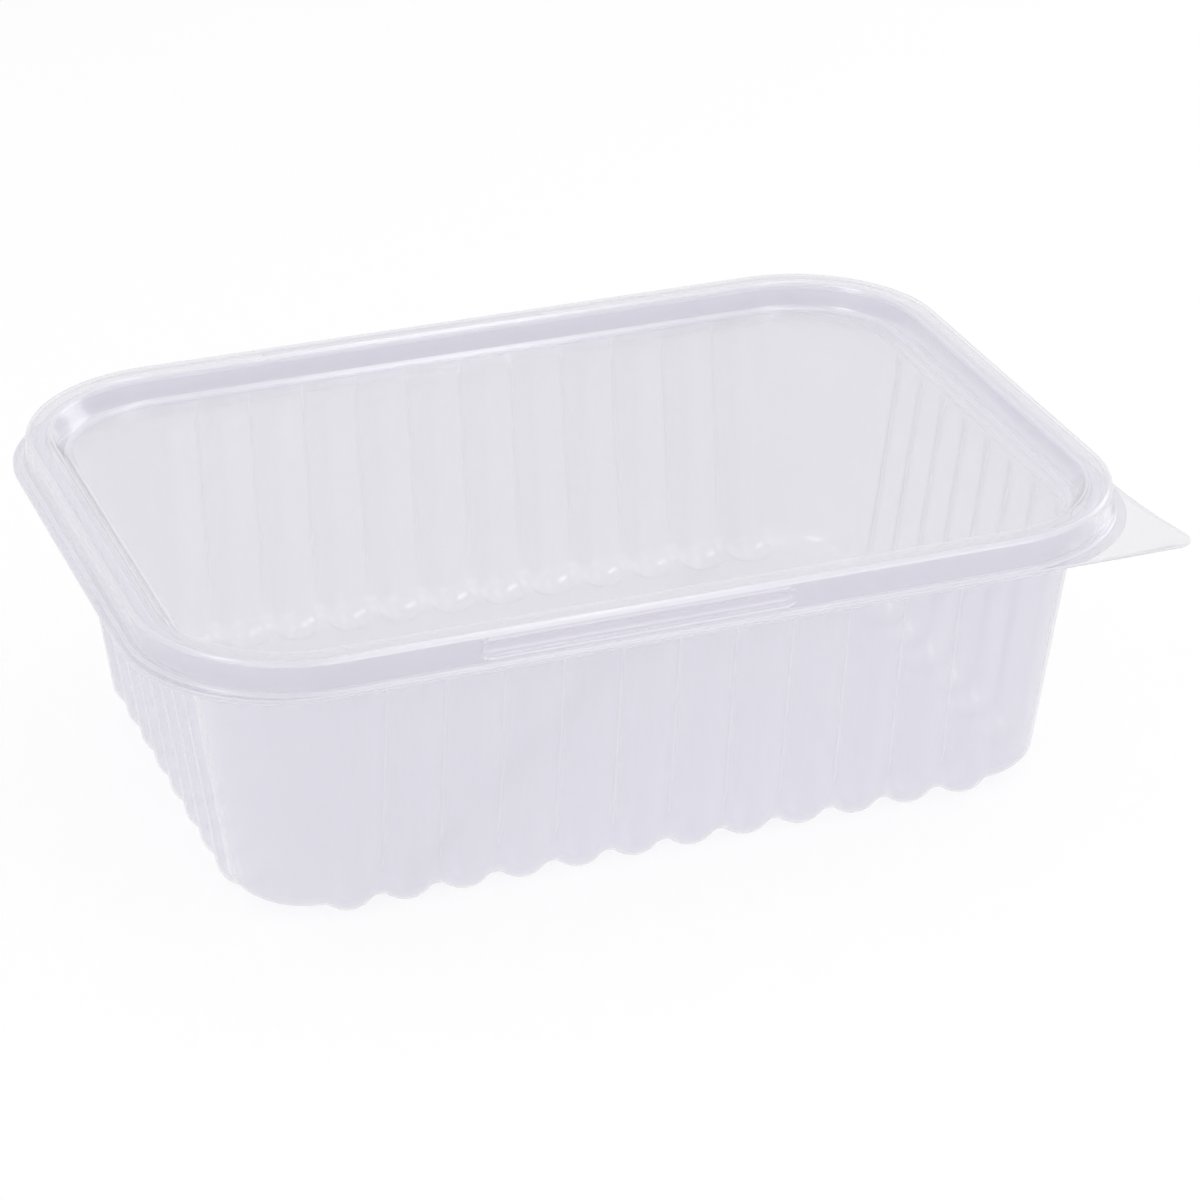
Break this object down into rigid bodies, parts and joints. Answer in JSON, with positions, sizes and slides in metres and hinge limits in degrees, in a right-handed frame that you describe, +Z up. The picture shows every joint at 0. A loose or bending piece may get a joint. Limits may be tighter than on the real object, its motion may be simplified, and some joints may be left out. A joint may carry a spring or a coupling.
{
  "type": "hinged-lid food container",
  "caption": "Clear thermoformed food tub with ribbed, tapering walls that end in round feet, and a shallow hinged lid whose ridge closes over the tub's bead.",
  "frame": {"origin": "middle of the whole outline in plan, on the surface that the feet stand on", "axes": "+X along the long sides, from the fold to the free end with the pull tab; +Y from the tab's side to the other; +Z up"},
  "size_m": [0.178, 0.1222, 0.0532],
  "materials": {
    "tray_plastic": "clear, slightly milky, smooth",
    "lid_plastic": "clear, slightly milky, smooth"
  },
  "bodies": {
    "tray": {"tray": "tray_plastic"},
    "lid": {"lid": "lid_plastic"}
  },
  "joints": [
    {"name": "lid_hinge", "type": "hinge", "parent": "tray", "child": "lid", "pos_m": [-0.08897, 0, 0.047], "axis": [0, -1, 0], "range_deg": [0, 180]}
  ]
}
